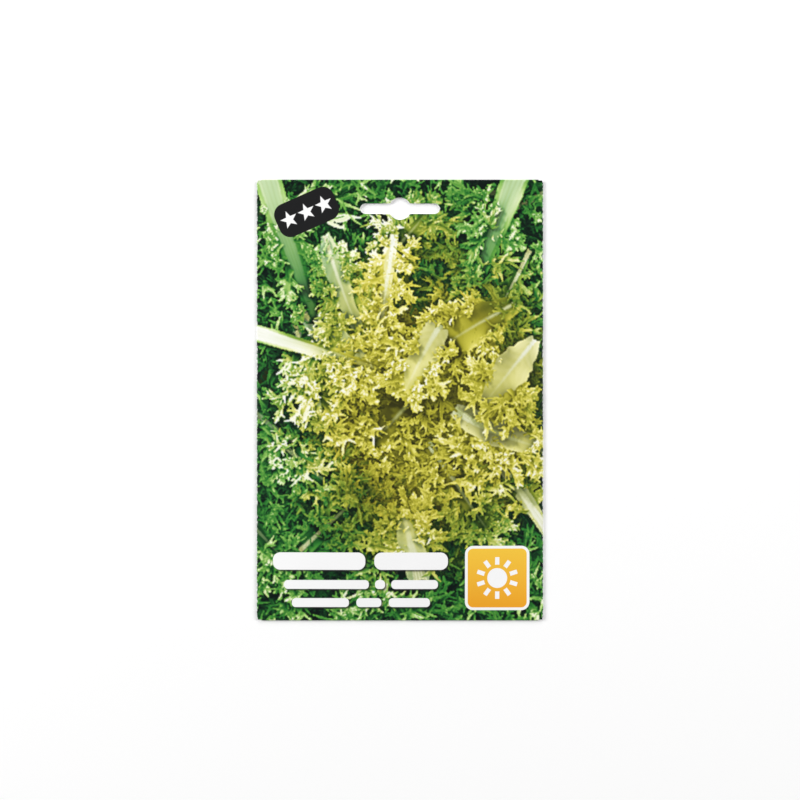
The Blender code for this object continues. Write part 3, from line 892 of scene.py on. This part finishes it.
printed_finish, at, connect = new_finish("printed_paper_front", Specular_IOR_Level=0.25)
x, y, z = at.split()
colour = at.node("Attribute", {"attribute_name": "print"}, {}, "Color")
shadow = inked_area(bars_distance(x - SHADOW_SHIFT[0], y - SHADOW_SHIFT[1]), 0.0004)
colour = (shadow * 0.86).mixed(colour, PLATE_BLACK)
colour = inked_area(bars_distance(x, y)).mixed(colour, WHITE)
badge = box_distance(x, y, BADGE_AT, BADGE_HALF, BADGE_CORNER, BADGE_TURN)
colour = inked_area(badge).mixed(colour, PLATE_BLACK)
cosine, sine = math.cos(BADGE_TURN), math.sin(BADGE_TURN)
for place in (-1, 0, 1):
    star_x = x - (BADGE_AT[0] + place * STAR_PITCH * cosine)
    star_y = y - (BADGE_AT[1] + place * STAR_PITCH * sine)
    turned_x, turned_y = star_x * cosine + star_y * sine, star_y * cosine - star_x * sine
    colour = inked_area(star_distance(turned_x, turned_y, STAR_RADIUS)).mixed(colour, WHITE)

plate = box_distance(x, y, PLATE_AT, (PLATE_HALF, PLATE_HALF), PLATE_CORNER)
sun_x, sun_y = x - PLATE_AT[0], y - PLATE_AT[1]
from_sun = (sun_x * sun_x + sun_y * sun_y).maths("SQRT")
around = sun_x.maths("ARCTAN2", sun_y).maths("PINGPONG", math.pi / RAYS)
ray = abs(from_sun - (RAY_INNER + RAY_OUTER) / 2) - (RAY_OUTER - RAY_INNER) / 2
ray = ray.most(from_sun * around.maths("SINE") - RAY_HALF)
ground = sun_y.between(-PLATE_HALF, PLATE_HALF).mixed(SUN_AMBER, SUN_GOLD)
colour = inked_area(plate).mixed(colour, WHITE)
colour = inked_area(plate + PLATE_BORDER).mixed(colour, ground)
colour = inked_area((from_sun - SUN_RADIUS).least(ray)).mixed(colour, WHITE)

fibres = at.noise(900.0, 4.0)
wear = (abs(x).between(HALF_X - 0.0001, HALF_X + FOLD_BULGE) * fibres.between(0.48, 0.62)).least(0.7)
colour = wear.mixed(colour, PAPER_WHITE)
connect(Base_Color=colour, Roughness=0.30 + at.noise(60.0, 2.0) * 0.08)
connect(Normal=at.bump(fibres + at.noise(220.0, 2.0), 0.05, 0.00003))

back_finish, at, connect = new_finish("printed_paper_back", Roughness=0.6, Specular_IOR_Level=0.3)
x, y, z = at.split()
mottle = at.noise(350.0, 3.0)
colour = mottle.between(0.35, 0.65).mixed((0.90, 0.90, 0.885, 1.0), PAPER_WHITE)
BACK_TITLE = [(-0.0420, 0.0420, 0.0520, 0.0027)]
LINE_ENDS = [0.046, 0.046, 0.034, 0.046, 0.046, 0.034, 0.046, 0.046, 0.004]
BACK_LINES = [(-0.046, end, 0.0420 - 0.0046 * n, 0.0009) for n, end in enumerate(LINE_ENDS)]
words = None
for a, b, middle, half in BACK_TITLE + BACK_LINES:
    bar = box_distance(x, y, ((a + b) / 2, middle), ((b - a) / 2, half), half * 0.8)
    words = bar if words is None else words.least(bar)
# A strip of twelve cells, one for each month, with the sowing and picking months filled in.
CELL_PITCH, STRIP_Y, STRIP_HALF = 0.0076, -0.0180, 0.0036
cell_x = (x + 6 * CELL_PITCH).maths("MODULO", CELL_PITCH) - CELL_PITCH / 2
strip = box_distance(x, y, (0.0, STRIP_Y), (6 * CELL_PITCH, STRIP_HALF), 0.0004)
frame_line = (abs(strip) - 0.00012).least((CELL_PITCH / 2 - abs(cell_x) - 0.00012).most(strip))
sowing = box_distance(x, y, (0.0, STRIP_Y + 0.0013), (2.5 * CELL_PITCH, 0.0008), 0.0004)
picking = box_distance(x, y, (-1.5 * CELL_PITCH, STRIP_Y - 0.0013), (3 * CELL_PITCH, 0.0008), 0.0004)
colour = inked_area(words.least(frame_line)).mixed(colour, LEAF_INK)
colour = inked_area(sowing).mixed(colour, (0.10, 0.38, 0.08, 1.0))
colour = inked_area(picking).mixed(colour, SUN_AMBER)
connect(Base_Color=colour, Roughness=0.52 + mottle * 0.15)
connect(Normal=at.bump(at.noise(1100.0, 4.0), 0.08, 0.00003))

bare_finish, at, connect = new_finish("bare_paper", Roughness=0.85, Specular_IOR_Level=0.2)
fibres = at.noise(700.0, 5.0, 0.6)
connect(Base_Color=fibres.between(0.3, 0.7).mixed((0.88, 0.88, 0.865, 1.0), (0.96, 0.96, 0.95, 1.0)))
connect(Roughness=0.78 + fibres * 0.14, Normal=at.bump(fibres, 0.15, 0.00005))

for finish in (printed_finish, back_finish, bare_finish):
    sheet_mesh.materials.append(finish)
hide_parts("envelope")
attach(envelope, "root")

# ---------------------------------------------------------------------------------------------------------
# The sachet: two webs of aluminium foil laminate, heat sealed together all round with a fine waffle pattern.
# It lies loose in the envelope and keeps the seeds dry.

SACHET_HALF = (0.040, 0.052)
SEAL = 0.006
WAFFLE = 0.0012

foil_finish, at, connect = new_finish("sachet_foil", Metallic=1.0)
x, y, z = at.split()
in_seal = (abs(x) - (SACHET_HALF[0] - SEAL)).most(abs(y - POUCH_MIDDLE) - (SACHET_HALF[1] - SEAL))
in_seal = in_seal.between(0.0, 0.0004)
waffle = ((x + y) * (2 * math.pi / WAFFLE)).maths("SINE") * ((x - y) * (2 * math.pi / WAFFLE)).maths("SINE")
creases = at.noise(90.0, 6.0, 0.62)
streaks = at.noise(400.0, 2.0)
connect(Base_Color=streaks.between(0.3, 0.7).mixed((0.70, 0.71, 0.73, 1.0), (0.83, 0.84, 0.85, 1.0)))
connect(Roughness=0.24 + creases * 0.12 + in_seal * 0.14)
connect(Normal=at.bump(creases + waffle * in_seal * 0.6, 0.5, 0.0003))
for node in ("sachet_back_foil", "sachet_front_foil"):
    bpy.data.objects[node].material_slots[0].material = foil_finish

# ---------------------------------------------------------------------------------------------------------
# The seeds: dry, ribbed, grey-brown husks, each a little different in tone, loose in the sachet.

husk_finish, at, connect = new_finish("seed_husk", Specular_IOR_Level=0.25)
tone = at.noise(180.0, 0.0)
streaks = at.noise(2600.0, 3.0, 0.6)
colour = tone.between(0.35, 0.65).mixed((0.24, 0.17, 0.10, 1.0), (0.50, 0.41, 0.29, 1.0))
colour = (streaks.between(0.5, 0.75) * 0.6).mixed(colour, (0.12, 0.08, 0.05, 1.0))
connect(Base_Color=colour, Roughness=0.65 + streaks * 0.2, Normal=at.bump(streaks, 0.6, 0.0001))
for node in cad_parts:
    if node.startswith("seed_"):
        bpy.data.objects[node].material_slots[0].material = husk_finish

# ---------------------------------------------------------------------------------------------------------
# The table and lights of a small studio: a pale floor, a large soft light on each side and a weaker one
# beyond the head, all well off the line of sight so that the varnish doesn't glare. The camera looks
# straight down.

FLOOR_HALF = 3.0
floor_mesh = bpy.data.meshes.new("studio_floor")
floor_corners = [(-FLOOR_HALF, -FLOOR_HALF, 0), (FLOOR_HALF, -FLOOR_HALF, 0), (FLOOR_HALF, FLOOR_HALF, 0),
                 (-FLOOR_HALF, FLOOR_HALF, 0)]
floor_mesh.from_pydata(floor_corners, [], [(0, 1, 2, 3)])
floor = bpy.data.objects.new("studio_floor", floor_mesh)
floor.location.z = -0.0002
bpy.context.scene.collection.objects.link(floor)
floor_looks = {"Roughness": 0.9, "Specular_IOR_Level": 0.1, "Emission_Strength": 0.06}
floor_finish, at, connect = new_finish("pale_floor", **floor_looks)
connect(Base_Color=at.noise(3.0, 2.0).mixed((0.965, 0.965, 0.965, 1.0), (0.985, 0.985, 0.985, 1.0)))
floor_mesh.materials.append(floor_finish)


def soft_light(name, place, size, power):
    lamp = bpy.data.lights.new(name, "AREA")
    lamp.shape = "DISK"
    lamp.size = size
    lamp.energy = power
    made = bpy.data.objects.new(name, lamp)
    made.location = place
    made.rotation_euler = (-made.location).to_track_quat("-Z", "Y").to_euler()
    bpy.context.scene.collection.objects.link(made)


soft_light("left_light", (-1.6, 0.5, 1.0), 1.0, 27.5)
soft_light("right_light", (1.6, 0.3, 1.1), 1.2, 19.5)
soft_light("head_light", (0.1, 1.8, 1.1), 1.2, 14.0)

world = bpy.data.worlds.new("studio")
world.use_nodes = True
world.node_tree.nodes["Background"].inputs["Color"].default_value = (1.0, 1.0, 1.0, 1.0)
world.node_tree.nodes["Background"].inputs["Strength"].default_value = 0.22
bpy.context.scene.world = world
bpy.context.scene.view_settings.view_transform = "Standard"

LENS = 100.0
SENSOR = 36.0
FRAMED_WIDTH = 0.3212
camera_data = bpy.data.cameras.new("camera")
camera_data.lens = LENS
camera_data.sensor_width = SENSOR
camera = bpy.data.objects.new("camera", camera_data)
camera.location = (0, 0, FRAMED_WIDTH * LENS / SENSOR + LAYER[3])
bpy.context.scene.collection.objects.link(camera)
bpy.context.scene.camera = camera
